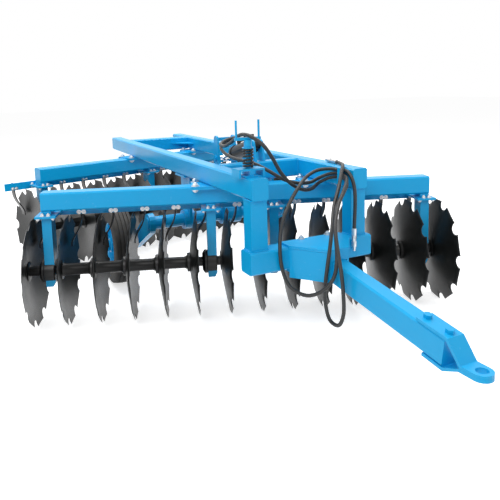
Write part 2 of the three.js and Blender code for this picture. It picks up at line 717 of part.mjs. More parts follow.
function barrel() {
  const eye = bar(...acrossX(eyeEnds, 0, 0), eyeRadius - 4, 16);
  const neck = bar([0, 0, 0], [0, barrelStart + 1, 0], eyeWidth / 2 - 1, 12);
  const tube = bar([0, barrelStart, 0], [0, barrelLength, 0], barrelRadius, 20);
  const gland = bar([0, barrelLength - 30, 0], [0, barrelLength, 0], barrelRadius + glandStep, 20);
  const boreRadius = (rodRadius + rodGap) / Math.cos(Math.PI / 12);
  const bore = bar([0, barrelStart + 6, 0], [0, barrelLength + 9, 0], boreRadius, 12, Math.PI / 12);
  const block = box([-16, 16], [portPlaces[0] - 16, portPlaces[1] + 16], [barrelRadius - 8, portHeight + 14]);
  const nipples = portPlaces.map((y) => bar(...acrossX([0, -portReach], y, portHeight), nippleRadius, 10));
  const farPort = barrelLength - 80;
  const pipe = bar([0, portPlaces[1], portHeight], [0, farPort, portHeight], 7, 8);
  const riser = bar([0, farPort, barrelRadius - 4], [0, farPort, portHeight + 10], 14, 8);
  const pinBore = bar(...acrossX([-eyeWidth, eyeWidth], 0, 0), seatBore(pinRadius, 12), 12, Math.PI / 12);
  return join(eye, neck, tube, gland, block, ...nipples, pipe, riser).subtract(bore).subtract(pinBore);
}
add(cylinder, 'lift_cylinder', barrel(), discSteel);

const reach = stroke.length();
const rodEye = bar(...acrossX(eyeEnds, reach, 0), eyeRadius - 4, 16);
const rodBar = bar([0, reach - rodLength, 0], [0, reach, 0], rodRadius, 12);
const rodPin = bar(...acrossX([-leverInside + gap, leverInside - gap], reach, 0), pinRadius, 12);
add(cylinder, 'lift_cylinder_rod', join(rodEye, rodBar, rodPin), zinc);

// ---------------------------------------------------------------- spring and hose guide
function springSeat() {
  const x = [springX - springSeatWidth / 2, springX + springSeatWidth / 2];
  const y = [springY - springSeatLength / 2, springY + springSeatLength / 2];
  const foot = mainBeamTop + gap;
  const top = foot + springSeatHeight;
  const wall = 10;
  const feet = [box([x[0], x[0] + wall], y, [foot, top]), box([x[1] - wall, x[1]], y, [foot, top])];
  return join(box(x, y, [top - wall, top]), ...feet, box([x[0] + 40, x[1] - 40], y, [foot, foot + 8]),
    box([springX - 12, springX + 12], y, [foot, top]));
}
add(harrow, 'spring_seat', springSeat(), paint);

class Coil extends THREE.Curve {
  constructor(radius, turns, bottom, height) {
    super();
    Object.assign(this, { radius, turns, bottom, height });
  }

  getPoint(t) {
    const angle = 2 * Math.PI * this.turns * t;
    return new THREE.Vector3(
      springX + this.radius * Math.cos(angle),
      springY + this.radius * Math.sin(angle),
      this.bottom + this.height * t,
    );
  }
}
const springFoot = mainBeamTop + gap + springSeatHeight + gap;
const roundOutline = (radius, sides) => new THREE.Shape(
  arc([0, 0], radius, 0, 360 - 360 / sides, sides - 1).map(([x, y]) => new THREE.Vector2(x, y)),
);
const coil = new Coil(springRadius, springTurns, springFoot + springWire, springLength - 2 * springWire);
const wireSteps = { steps: springTurns * 10, extrudePath: coil };
add(harrow, 'spring', solidOf(new THREE.ExtrudeGeometry(roundOutline(springWire, 5), wireSteps)), discSteel);

function hoseGuide() {
  const up = (from, to, radius, x = springX, sides = 12) => bar(
    [x, springY, from],
    [x, springY, to],
    radius,
    sides,
  );
  const seat = springFoot + springLength + gap;
  const barFoot = seat + sleeveLength;
  const cross = box([springX - guideHalf - 8, springX + guideHalf + 8], [springY - 10, springY + 10],
    [barFoot - 1, barFoot + guideBar]);
  const rods = [springX - guideHalf, springX + guideHalf].map(
    (x) => up(barFoot, barFoot + guideRodLength, guideRodRadius, x, 8),
  );
  return join(up(springFoot, seat + 1, springRodRadius), up(seat, seat + 5, springRadius + springWire),
    up(seat, barFoot, sleeveRadius), cross, ...rods);
}
add(harrow, 'hose_guide', hoseGuide(), paint);

// ---------------------------------------------------------------- hoses
// A hook on the left main beam's inner side carries the bundle.
function hoseHook() {
  const y = [hookPlace - hookLength / 2, hookPlace + hookLength / 2];
  const x = [leftBeamX - gap - hookDepth, leftBeamX - gap];
  return join(
    box(x, y, [hookFloor - hookPlate, hookFloor]),
    box([x[0], x[0] + hookPlate], y, [hookFloor - 1, hookFloor + hookLip]),
  );
}
add(harrow, 'left_beam_hook', hoseHook(), paint);

harrow.updateMatrixWorld(true);
const whole = new THREE.Box3().setFromObject(harrow, true); // taken before the hoses are hung on it

// steps follow the chosen points, which lie closer together where the hose bends
class Route extends THREE.CatmullRomCurve3 {
  getPointAt(u) {
    return this.getPoint(u);
  }

  getTangentAt(u) {
    return this.getTangent(u);
  }
}

function hose(points) {
  const route = new Route(points.map((point) => new THREE.Vector3(...point)));
  const steps = { steps: points.length - 1, extrudePath: route };
  return solidOf(new THREE.ExtrudeGeometry(roundOutline(hoseRadius, 8), steps));
}

// a collar, a grooved sleeve and a nose, laid from the hose's end in the hose's direction
function coupler(end, direction) {
  const at = (along) => end.map((value, axis) => value + direction[axis] * along);
  const sections = [[couplerGap, 34, couplerRadius - 3], [33, 66, couplerRadius], [65, couplerLength, 9]];
  return join(...sections.map(([from, to, radius]) => bar(at(from), at(to), radius, 12)));
}

// base end's port, over the guide, down to the hook, a wide turn beside the drawbar, back over the hook
const firstRoute = [
  [77.7, 177.1, 1079.8], [15, 177.1, 1079.8], [-58, 156, 1068], [-120, 86, 1056], [-152, -40, 1056],
  [-184, -210, 1092], [-204, -350, 1140], [-208, -430, 1153], [-196, -494, 1145], [-150, -530, 1103],
  [-88, -514, 1030], [-22, -486, 942], [60, -460, 866], [150, -432, 822], [235, -390, 814],
  [313, -348, 836], [368, -371, 861], [391, -425, 872], [390, -485, 871], [348, -570, 855],
  [280, -634, 822], [192, -692, 758], [128, -776, 655], [103, -822, 535], [94, -808, 435],
  [60, -762, 358], [8, -683, 315], [-44, -604, 347], [-76, -581, 440], [-88, -580, 560],
  [-66, -568, 682], [0, -534, 776], [84, -487, 846], [205, -392, 890], [313, -348, 910],
  [368, -371, 914], [391, -425, 914], [391, -526, 910], [391, -580, 836], [388, -582, 560],
];
// other port, behind the spring, down to the hook, a long turn beside the drawbar, up onto the beam
const secondRoute = [
  [77.7, 204.1, 1072.6], [14, 204.1, 1072.6], [-52, 182, 1050], [-102, 122, 1030], [-128, 20, 1010],
  [-140, -110, 996], [-140, -250, 992], [-112, -350, 982], [-50, -402, 942], [30, -420, 891],
  [115, -416, 862], [200, -392, 850], [260, -362, 850], [315, -347, 864], [369, -370, 884],
  [391, -425, 893], [388, -488, 891], [345, -572, 877], [266, -656, 838], [180, -726, 778],
  [116, -790, 690], [88, -852, 580], [88, -882, 470], [96, -886, 360], [99, -881, 262],
  [99, -845, 196], [99, -801, 183], [99, -757, 196], [99, -724, 262], [86, -742, 372],
  [90, -757, 480], [104, -760, 575], [140, -727, 665], [198, -662, 762], [270, -604, 848],
  [340, -532, 918], [394, -468, 944], [430, -405, 942], [446, -345, 944], [452, -290, 945.3],
];
add(harrow, 'hose_first', hose(firstRoute), hoseRubber);
add(harrow, 'hose_second', hose(secondRoute), hoseRubber);
add(harrow, 'hose_first_coupler', coupler(firstRoute[firstRoute.length - 1], [0, 0, -1]), zinc);
add(harrow, 'hose_second_coupler', coupler(secondRoute[secondRoute.length - 1], [0.1, 0.995, 0]), zinc);

// ---------------------------------------------------------------- placed with the origin under the middle
harrow.position.set(-(whole.min.x + whole.max.x) / 2, -(whole.min.y + whole.max.y) / 2, -whole.min.z);

export default harrow;
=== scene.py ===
# Looks for the trailed disc harrow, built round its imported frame. Metres, Z up, the drawbar towards -Y.
import math

import bmesh
import bpy
import numpy as np
from mathutils import Matrix, Vector


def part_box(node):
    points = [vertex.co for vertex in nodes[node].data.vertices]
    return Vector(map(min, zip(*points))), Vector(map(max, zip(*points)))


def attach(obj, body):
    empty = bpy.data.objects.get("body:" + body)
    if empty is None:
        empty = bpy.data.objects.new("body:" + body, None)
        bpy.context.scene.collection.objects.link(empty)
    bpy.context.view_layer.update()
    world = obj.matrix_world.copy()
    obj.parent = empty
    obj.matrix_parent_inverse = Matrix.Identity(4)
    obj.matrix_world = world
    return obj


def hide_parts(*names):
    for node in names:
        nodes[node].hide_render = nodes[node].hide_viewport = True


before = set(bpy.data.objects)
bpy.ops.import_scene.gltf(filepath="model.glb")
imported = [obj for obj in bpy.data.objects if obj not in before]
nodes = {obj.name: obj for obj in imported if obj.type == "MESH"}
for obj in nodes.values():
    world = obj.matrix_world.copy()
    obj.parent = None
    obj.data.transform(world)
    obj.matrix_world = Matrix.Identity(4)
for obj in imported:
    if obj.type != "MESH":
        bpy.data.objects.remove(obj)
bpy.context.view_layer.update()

# The drawing's own zero lies 404 mm right of the left main beam and 555 mm behind its front end.
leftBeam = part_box("main_beam_left")
drawingZero = np.array([leftBeam[0].x - 0.404, leftBeam[0].y + 0.555, 0.0])
print("frame loaded, drawing zero at", drawingZero.round(4))


# Camera: places in the drawing's frame, turns in degrees.
cameraValues = {
    "place": (-1.4922, -3.0979, 1.4002),
    "yaw": 26.262,
    "pitch": 7.371,
    "roll": -1.421,
    "lens": 40.71,
    "shiftDown": 0.18,
    "farEnd": 60,
}


def addCamera(values):
    yaw, pitch, roll = (math.radians(values[key]) for key in ("yaw", "pitch", "roll"))
    level = math.cos(pitch)
    ahead = Vector((math.sin(yaw) * level, math.cos(yaw) * level, -math.sin(pitch)))
    right = Vector((math.cos(yaw), -math.sin(yaw), 0))
    up = right.cross(ahead)
    turnedRight = math.cos(roll) * right + math.sin(roll) * up
    turnedUp = -math.sin(roll) * right + math.cos(roll) * up
    data = bpy.data.cameras.new("viewCamera")
    data.lens = values["lens"]
    data.shift_y = -values["shiftDown"]
    data.clip_end = values["farEnd"]
    camera = bpy.data.objects.new("viewCamera", data)
    turn = Matrix((turnedRight, turnedUp, -ahead)).transposed().to_4x4()
    camera.matrix_world = Matrix.Translation(Vector(values["place"]) + Vector(drawingZero)) @ turn
    bpy.context.scene.collection.objects.link(camera)
    bpy.context.scene.camera = camera


addCamera(cameraValues)
print("camera placed")


# Shader groups, each used by several finishes.
def newGroup(name, inputs, outputs):
    group = bpy.data.node_groups.new(name, "ShaderNodeTree")
    for label, kind, value in inputs:
        socket = group.interface.new_socket(label, in_out="INPUT", socket_type=kind)
        socket.default_value = value
    for label, kind in outputs:
        group.interface.new_socket(label, in_out="OUTPUT", socket_type=kind)
    return group, group.nodes.new("NodeGroupInput").outputs, group.nodes.new("NodeGroupOutput").inputs


def addNode(tree, kind, inputs=None, **settings):
    node = tree.nodes.new(kind)
    for key, value in settings.items():
        setattr(node, key, value)
    for key, value in (inputs or {}).items():
        if isinstance(value, bpy.types.NodeSocket):
            tree.links.new(value, node.inputs[key])
        else:
            node.inputs[key].default_value = value
    return node


def calculate(tree, operation, *values, clamp=False):
    node = addNode(tree, "ShaderNodeMath", dict(enumerate(values)), operation=operation, use_clamp=clamp)
    return node.outputs[0]


def mixColour(tree, factor, a, b):
    return addNode(tree, "ShaderNodeMix", {0: factor, 6: a, 7: b}, data_type="RGBA").outputs[2]


def addNoise(tree, place, scale, **more):
    return addNode(tree, "ShaderNodeTexNoise", {"Vector": place, "Scale": scale, **more}).outputs["Fac"]


groupValues = {
    "tone": {"detail": 6.0, "grain": 0.6},
    "dust": {"spots": 22.0, "detail": 8.0, "upwards": 0.6, "level": 0.45, "roughens": 0.6},
    "scratch": {"detail": 3.0, "contrast": 9.0},
    "skin": {"detail": 3.0, "distance": 0.002},
}


def makeToneGroup(values):  # broad and fine cloudiness of a painted or moulded colour
    group, given, out = newGroup(
        "toneDrift",
        [
            ("Color", "NodeSocketColor", (1, 1, 1, 1)),
            ("Drift", "NodeSocketFloat", 0.1),
            ("Size", "NodeSocketFloat", 3),
        ],
        [("Color", "NodeSocketColor"), ("Cloud", "NodeSocketFloat")],
    )
    place = addNode(group, "ShaderNodeTexCoord").outputs["Object"]
    cloud = addNoise(group, place, given["Size"], Detail=values["detail"], Roughness=values["grain"])
    darker = mixColour(group, given["Drift"], given["Color"], (0, 0, 0, 1))
    group.links.new(mixColour(group, cloud, darker, given["Color"]), out["Color"])
    group.links.new(cloud, out["Cloud"])
    return group


def makeDustGroup(values):  # thin pale dust, thicker on faces that look up
    group, given, out = newGroup(
        "dustFilm",
        [
            ("Color", "NodeSocketColor", (1, 1, 1, 1)),
            ("Dust", "NodeSocketColor", (0.5, 0.45, 0.38, 1)),
            ("Amount", "NodeSocketFloat", 0.1),
            ("Roughness", "NodeSocketFloat", 0.4),
        ],
        [("Color", "NodeSocketColor"), ("Roughness", "NodeSocketFloat")],
    )
    coord = addNode(group, "ShaderNodeTexCoord")
    up = addNode(group, "ShaderNodeSeparateXYZ", {0: coord.outputs["Normal"]}).outputs["Z"]
    spots = addNoise(group, coord.outputs["Object"], values["spots"], Detail=values["detail"])
    lift = calculate(group, "MULTIPLY_ADD", up, values["upwards"], values["level"], clamp=True)
    patch = calculate(group, "MULTIPLY", lift, spots)
    film = calculate(group, "MULTIPLY", patch, given["Amount"])
    rough = calculate(group, "MULTIPLY_ADD", film, values["roughens"], given["Roughness"])
    group.links.new(mixColour(group, film, given["Color"], given["Dust"]), out["Color"])
    group.links.new(rough, out["Roughness"])
    return group


def makeScratchGroup(values):  # sparse fine scratches as a mask, from noise stretched one way
    group, given, out = newGroup(
        "scratchMask",
        [
            ("Vector", "NodeSocketVector", (0, 0, 0)),
            ("Stretch", "NodeSocketVector", (4, 300, 4)),
            ("Sparse", "NodeSocketFloat", 0.62),
        ],
        [("Mask", "NodeSocketFloat")],
    )
    both = {0: given["Vector"], 1: given["Stretch"]}
    drawn = addNode(group, "ShaderNodeVectorMath", both, operation="MULTIPLY").outputs[0]
    lines = addNoise(group, drawn, 1.0, Detail=values["detail"])
    above = calculate(group, "SUBTRACT", lines, given["Sparse"])
    group.links.new(calculate(group, "MULTIPLY", above, values["contrast"], clamp=True), out["Mask"])
    return group


def makeSkinGroup(values):  # small uneven bumps: orange peel of sprayed paint, casting skin, rubber grain
    group, given, out = newGroup(
        "skinBump",
        [
            ("Size", "NodeSocketFloat", 300.0),
            ("Depth", "NodeSocketFloat", 0.1),
            ("Height", "NodeSocketFloat", 0.5),
        ],
        [("Normal", "NodeSocketVector")],
    )
    place = addNode(group, "ShaderNodeTexCoord").outputs["Object"]
    bumps = addNoise(group, place, given["Size"], Detail=values["detail"])
    height = calculate(group, "ADD", bumps, given["Height"])
    settings = {"Strength": given["Depth"], "Height": height, "Distance": values["distance"]}
    group.links.new(addNode(group, "ShaderNodeBump", settings).outputs["Normal"], out["Normal"])
    return group


toneDrift = makeToneGroup(groupValues["tone"])
dustFilm = makeDustGroup(groupValues["dust"])
scratchMask = makeScratchGroup(groupValues["scratch"])
skinBump = makeSkinGroup(groupValues["skin"])


# Finishes: drift is how far the colour clouds, skin the bumps' fineness and depth.
finishValues = {
    "bluePaint": {
        "slot": "blue_paint", "colour": (0.0, 0.40, 0.79), "drift": 0.16, "cloud": 2.2, "rough": 0.2,
        "roughDrift": 0.22, "dust": 0.035, "skin": (170.0, 0.12), "specular": 0.22, "coat": 0.12,
        "coatRough": 0.12, "scuff": (0.25, 0.6, 0.85), "scuffShare": 0.18,
        "scuffStretch": (60, 5, 60), "sparse": 0.66,
    },
    "discBlack": {
        "slot": "disc_steel", "colour": (0.004, 0.0055, 0.006), "drift": 0.5, "cloud": 5.0, "rough": 0.2,
        "roughDrift": 0.25, "dust": 0.04, "skin": (120.0, 0.15), "specular": 0.28,
        "bare": (0.09, 0.095, 0.1), "rubShare": 0.22, "rubStretch": (7, 130, 1), "sparse": 0.6,
        "rimStart": 0.955, "rimShare": 0.3, "shine": 0.8,
    },
    "blackSteel": {
        "slot": "black_steel", "colour": (0.007, 0.008, 0.009), "drift": 0.4, "cloud": 6.0, "rough": 0.33,
        "dust": 0.04, "skin": (220.0, 0.14), "specular": 0.32,
    },
    "zincPlate": {
        "slot": "zinc", "colour": (0.74, 0.75, 0.76), "drift": 0.25, "cloud": 40.0, "rough": 0.18,
        "roughDrift": 0.3, "skin": (500.0, 0.08), "metal": 0.85,
    },
    "rodChrome": {
        "slot": "rod_chrome", "colour": (0.8, 0.81, 0.82), "drift": 0.06, "cloud": 30.0, "rough": 0.08,
        "roughDrift": 0.08, "metal": 1.0,
    },
    "tyreRubber": {
        "slot": "tyre_rubber", "colour": (0.016, 0.016, 0.017), "drift": 0.35, "cloud": 9.0, "rough": 0.78,
        "dust": 0.16, "skin": (400.0, 0.25),
    },
    "hoseRubber": {
        "slot": "hose_rubber", "colour": (0.010, 0.011, 0.012), "drift": 0.3, "cloud": 25.0, "rough": 0.42,
        "dust": 0.05, "skin": (260.0, 0.3), "wraps": 700.0,
    },
}


def startMaterial(name, values):
    material = bpy.data.materials.new(name)
    material.use_nodes = True
    tree = material.node_tree
    tone = addNode(tree, "ShaderNodeGroup", node_tree=toneDrift)
    tone.inputs["Color"].default_value = (*values["colour"], 1)
    tone.inputs["Drift"].default_value = values["drift"]
    tone.inputs["Size"].default_value = values["cloud"]
    return material, tree, tree.nodes["Principled BSDF"], tone.outputs


def cloudyRoughness(tree, cloud, values):
    return calculate(tree, "MULTIPLY_ADD", cloud, values["roughDrift"], values["rough"])


def addDust(tree, shader, colour, rough, amount):
    film = addNode(tree, "ShaderNodeGroup", node_tree=dustFilm)
    tree.links.new(colour, film.inputs["Color"])
    film.inputs["Amount"].default_value = amount
    if isinstance(rough, bpy.types.NodeSocket):
        tree.links.new(rough, film.inputs["Roughness"])
    else:
        film.inputs["Roughness"].default_value = rough
    tree.links.new(film.outputs["Color"], shader.inputs["Base Color"])
    tree.links.new(film.outputs["Roughness"], shader.inputs["Roughness"])


def addSkin(tree, shader, skinValues, height=None):
    skin = addNode(tree, "ShaderNodeGroup", node_tree=skinBump)
    skin.inputs["Size"].default_value, skin.inputs["Depth"].default_value = skinValues
    if height is not None:
        tree.links.new(height, skin.inputs["Height"])
    tree.links.new(skin.outputs["Normal"], shader.inputs["Normal"])


def addScratches(tree, place, stretch, sparse):
    marks = addNode(tree, "ShaderNodeGroup", node_tree=scratchMask)
    tree.links.new(place, marks.inputs["Vector"])
    marks.inputs["Stretch"].default_value = stretch
    marks.inputs["Sparse"].default_value = sparse
    return marks.outputs["Mask"]


def makeBluePaint(name, values):
    material, tree, shader, tone = startMaterial(name, values)
    place = addNode(tree, "ShaderNodeTexCoord").outputs["Object"]
    marks = addScratches(tree, place, values["scuffStretch"], values["sparse"])
    share = calculate(tree, "MULTIPLY", marks, values["scuffShare"])
    scuffed = mixColour(tree, share, tone["Color"], (*values["scuff"], 1))
    rough = cloudyRoughness(tree, tone["Cloud"], values)
    addDust(tree, shader, scuffed, rough, values["dust"])
    addSkin(tree, shader, values["skin"])
    shader.inputs["Coat Weight"].default_value = values["coat"]
    shader.inputs["Coat Roughness"].default_value = values["coatRough"]
    shader.inputs["Specular IOR Level"].default_value = values["specular"]
    return material


def makeDiscBlack(name, values):  # black paint rubbed through in rings where the soil runs along the dish
    material, tree, shader, tone = startMaterial(name, values)
    ring = addNode(tree, "ShaderNodeUVMap", uv_map="ringMap").outputs["UV"]
    marks = addScratches(tree, ring, values["rubStretch"], values["sparse"])
    outward = addNode(tree, "ShaderNodeSeparateXYZ", {0: ring}).outputs["Y"]
    span = {"Value": outward, "From Min": values["rimStart"], "From Max": 1.0, "To Max": values["rimShare"]}
    rim = addNode(tree, "ShaderNodeMapRange", span).outputs[0]
    bare = calculate(tree, "MAXIMUM", calculate(tree, "MULTIPLY", marks, values["rubShare"]), rim)
    metal = mixColour(tree, bare, tone["Color"], (*values["bare"], 1))
    rough = cloudyRoughness(tree, tone["Cloud"], values)
    addDust(tree, shader, metal, rough, values["dust"])
    tree.links.new(calculate(tree, "MULTIPLY", bare, values["shine"]), shader.inputs["Metallic"])
    addSkin(tree, shader, values["skin"], marks)
    shader.inputs["Specular IOR Level"].default_value = values["specular"]
    return material


def makeDustyPlain(name, values):
    material, tree, shader, tone = startMaterial(name, values)
    addDust(tree, shader, tone["Color"], values["rough"], values["dust"])
    addSkin(tree, shader, values["skin"])
    if "specular" in values:
        shader.inputs["Specular IOR Level"].default_value = values["specular"]
    return material


def makeBareMetal(name, values):
    material, tree, shader, tone = startMaterial(name, values)
    tree.links.new(tone["Color"], shader.inputs["Base Color"])
    tree.links.new(cloudyRoughness(tree, tone["Cloud"], values), shader.inputs["Roughness"])
    if "skin" in values:
        addSkin(tree, shader, values["skin"])
    shader.inputs["Metallic"].default_value = values["metal"]
    return material


def makeHoseRubber(name, values):  # the cover keeps the fine spiral marks of the cloth it was cured in
    material, tree, shader, tone = startMaterial(name, values)
    along = addNode(tree, "ShaderNodeUVMap", uv_map="hoseMap").outputs["UV"]
    parts = addNode(tree, "ShaderNodeSeparateXYZ", {0: along}).outputs
    turn = calculate(tree, "MULTIPLY_ADD", parts["Y"], values["wraps"], parts["X"])
    ripple = calculate(tree, "SINE", calculate(tree, "MULTIPLY", turn, 2 * math.pi))
    addDust(tree, shader, tone["Color"], values["rough"], values["dust"])
    addSkin(tree, shader, values["skin"], ripple)
    return material


makers = {
    "bluePaint": makeBluePaint, "discBlack": makeDiscBlack, "blackSteel": makeDustyPlain,
    "zincPlate": makeBareMetal, "rodChrome": makeBareMetal, "tyreRubber": makeDustyPlain,
    "hoseRubber": makeHoseRubber,
}
finishes = {name: makers[name](name, values) for name, values in finishValues.items()}
print("finishes made")


# Surfaces from arrays: each part is an array of points and an array of four-cornered faces.
def gridFaces(rows, columns, wrapRows=False, wrapColumns=False):
    # four corners of each cell of a grid of points, joined round either way where it wraps
    down, across = np.meshgrid(
        np.arange(rows if wrapRows else rows - 1),
        np.arange(columns if wrapColumns else columns - 1),
        indexing="ij",
    )
    nextDown, nextAcross = (down + 1) % rows, (across + 1) % columns
    corners = [
        down * columns + across, nextDown * columns + across,
        nextDown * columns + nextAcross, down * columns + nextAcross,
    ]
    return np.stack(corners, -1).reshape(-1, 4)


def merged(parts):
    # several point and face arrays as one, with the faces counted on
    starts = np.cumsum([0] + [len(points) for points, _ in parts[:-1]])
    faces = [faces + start for (_, faces), start in zip(parts, starts)]
    return np.concatenate([points for points, _ in parts]), np.concatenate(faces)


def frameOf(direction):
    # a unit vector along the direction, and two more square to it and to each other
    along = np.asarray(direction, float) / np.linalg.norm(direction)
    side = np.cross(along, (0, 0, 1) if abs(along[2]) < 0.9 else (1, 0, 0))
    side /= np.linalg.norm(side)
    return along, side, np.cross(along, side)


def circle(sides):
    angle = np.arange(sides) * 2 * math.pi / sides
    return np.stack([np.cos(angle), np.sin(angle)], -1)


def spun(profile, start, direction, sides=40):
    # point = start + distance * along + radius * (cos angle * side + sin angle * up)
    along, side, up = frameOf(direction)
    profile = np.asarray(profile, float)
    distance, radius = profile[:, 0, None, None], profile[:, 1, None, None]
    points = np.asarray(start, float) + distance * along + radius * (circle(sides) @ np.array([side, up]))
    closed = np.allclose(profile[0], profile[-1])
    rows = len(profile) - 1 if closed else len(profile)
    return points[:rows].reshape(-1, 3), gridFaces(rows, sides, closed, True)


def carried(path, side, up, outline):
    # point = station + across * side + out * up for each corner of the outline, closed by fans at both ends
    points = path[:, None] + outline[None, :, :1] * side[:, None] + outline[None, :, 1:] * up[:, None]
    rows, columns = points.shape[:2]
    flat, ends = points.reshape(-1, 3), points[[0, -1]].mean(axis=1)
    ring = np.arange(columns)
    nextRing = (ring + 1) % columns
    last = (rows - 1) * columns
    firstMiddle, lastMiddle = np.full(columns, len(flat)), np.full(columns, len(flat) + 1)
    firstFan = np.stack([ring, nextRing, firstMiddle, firstMiddle], -1)
    lastFan = np.stack([nextRing + last, ring + last, lastMiddle, lastMiddle], -1)
    faces = np.concatenate([gridFaces(rows, columns, False, True), firstFan, lastFan])
    return np.concatenate([flat, ends]), faces


def block(low, high):
    # eight corners and six sides
    corners = [[x, y, z] for z in (low[2], high[2]) for y in (low[1], high[1]) for x in (low[0], high[0])]
    sides = [[0, 2, 3, 1], [4, 5, 7, 6], [0, 1, 5, 4], [1, 3, 7, 5], [3, 2, 6, 7], [2, 0, 4, 6]]
    return np.array(corners), np.array(sides)


def cleaned(mesh):
    # doubled points joined, faces with no area removed, and every face turned outwards
    shape = bmesh.new()
    shape.from_mesh(mesh)
    bmesh.ops.remove_doubles(shape, verts=shape.verts, dist=1e-6)
    bmesh.ops.dissolve_degenerate(shape, edges=shape.edges, dist=1e-7)
    bmesh.ops.recalc_face_normals(shape, faces=shape.faces)
    shape.to_mesh(mesh)
    shape.free()


def makePiece(name, part, finish, body, sharp=35, maps=None, bevel=0.0, replaces=()):
    points, faces = part
    mesh = bpy.data.meshes.new(name)
    mesh.from_pydata(points.tolist(), [], faces.tolist())
    if maps is not None:
        label, values = maps
        layer = mesh.uv_layers.new(name=label)
        corner = np.empty(len(mesh.loops), np.int32)
        mesh.loops.foreach_get("vertex_index", corner)
        layer.data.foreach_set("uv", values[corner].astype(np.float32).ravel())
    cleaned(mesh)
    mesh.shade_smooth()
    mesh.set_sharp_from_angle(angle=math.radians(sharp))
    mesh.materials.append(finishes[finish])
    piece = bpy.data.objects.new(name, mesh)
    bpy.context.scene.collection.objects.link(piece)
    if bevel:
        rounding = piece.modifiers.new("rounding", "BEVEL")
        rounding.width = bevel
        rounding.segments = 2
        rounding.limit_method = "ANGLE"
    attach(piece, body)
    if replaces:
        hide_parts(*replaces)
    return piece


# Hoses: real lengths, hung as a fitter leaves them. Routes are in the drawing's frame.
hoseValues = {
    "diameter": 0.020,
    "sides": 18,
    "perStretch": 9,  # stations between two points of a route
}
firstRoute = [
    (.0777, .1771, 1.0798), (.015, .1771, 1.0798), (-.058, .156, 1.068), (-.120, .086, 1.056),
    (-.152, -.040, 1.056), (-.184, -.210, 1.092), (-.204, -.350, 1.140), (-.208, -.430, 1.153),
    (-.196, -.494, 1.145), (-.150, -.530, 1.103), (-.088, -.514, 1.030), (-.022, -.486, .942),
    (.060, -.460, .866), (.150, -.432, .822), (.235, -.390, .814), (.313, -.348, .836),
    (.368, -.371, .861), (.391, -.425, .872), (.390, -.485, .871), (.348, -.570, .855),
    (.280, -.634, .822), (.192, -.692, .758), (.128, -.776, .655), (.103, -.822, .535),
    (.094, -.808, .435), (.060, -.762, .358), (.008, -.683, .315), (-.044, -.604, .347),
    (-.076, -.581, .440), (-.088, -.580, .560), (-.066, -.568, .682), (0, -.534, .776),
    (.084, -.487, .846), (.205, -.392, .890), (.313, -.348, .910), (.368, -.371, .914),
    (.391, -.425, .914), (.391, -.526, .910), (.391, -.580, .836), (.388, -.582, .560),
]
secondRoute = [
    (.0777, .2041, 1.0726), (.014, .2041, 1.0726), (-.052, .182, 1.050), (-.102, .122, 1.030),
    (-.128, .020, 1.010), (-.140, -.110, .996), (-.140, -.250, .992), (-.112, -.350, .982),
    (-.050, -.402, .942), (.030, -.420, .891), (.115, -.416, .862), (.200, -.392, .850),
    (.260, -.362, .850), (.315, -.347, .864), (.369, -.370, .884), (.391, -.425, .893),
    (.388, -.488, .891), (.345, -.572, .877), (.266, -.656, .838), (.180, -.726, .778),
    (.116, -.790, .690), (.088, -.852, .580), (.088, -.882, .470), (.096, -.886, .360),
    (.099, -.881, .262), (.099, -.845, .196), (.099, -.801, .183), (.099, -.757, .196),
    (.099, -.724, .262), (.086, -.742, .372), (.090, -.757, .480), (.104, -.760, .575),
    (.140, -.727, .665), (.198, -.662, .762), (.270, -.604, .848), (.340, -.532, .918),
    (.394, -.468, .944), (.430, -.405, .942), (.446, -.345, .944), (.452, -.290, .9453),
]
routes = {"first": (firstRoute, (0, 0, -1)), "second": (secondRoute, (0.1, 0.995, 0))}


def smoothRoute(points, perStretch):
    # cubic between each two points, with slopes from the neighbours weighed by the root of their distance
    points = np.asarray(points, float) + drawingZero
    padded = np.vstack([2 * points[0] - points[1], points, 2 * points[-1] - points[-2]])
    before, start, end, after = padded[:-3], padded[1:-2], padded[2:-1], padded[3:]
    pairs = ((before, start), (start, end), (end, after))
    first, middle, last = (np.sqrt(np.linalg.norm(b - a, axis=1))[:, None] for a, b in pairs)
    startSlope = (start - before) / first - (end - before) / (first + middle) + (end - start) / middle
    endSlope = (end - start) / middle - (after - start) / (middle + last) + (after - end) / last
    t = (np.arange(perStretch) / perStretch)[None, :, None]
    a, b, da, db = (v[:, None] for v in (start, end, startSlope * middle, endSlope * middle))
    curve = a + da * t + (-3 * a + 3 * b - 2 * da - db) * t**2 + (2 * a - 2 * b + da + db) * t**3
    return np.vstack([curve.reshape(-1, 3), points[-1:]])


def travelFrames(path):
    # a side direction that is carried from station to station without twisting
    along = np.gradient(path, axis=0)
    along /= np.linalg.norm(along, axis=1)[:, None]
    side = np.zeros_like(along)
    side[0] = frameOf(along[0])[1]
    for i in range(1, len(path)):
        kept = side[i - 1] - along[i] * (side[i - 1] @ along[i])
        side[i] = kept / np.linalg.norm(kept)
    return side, np.cross(along, side)


def addHose(name, path, values, node):
    # a round tube whose map runs once round it and along its length in metres
    side, up = travelFrames(path)
    sides = values["sides"]
    tube = carried(path, side, up, values["diameter"] / 2 * circle(sides))
    length = np.r_[0, np.cumsum(np.linalg.norm(np.diff(path, axis=0), axis=1))]
    around = np.tile(np.arange(sides) / sides, len(path))
    mapped = np.vstack([np.stack([around, np.repeat(length, sides)], -1), [[0, 0], [0, length[-1]]]])
    piece = makePiece(name, tube, "hoseRubber", "frame", maps=("hoseMap", mapped), replaces=(node,))


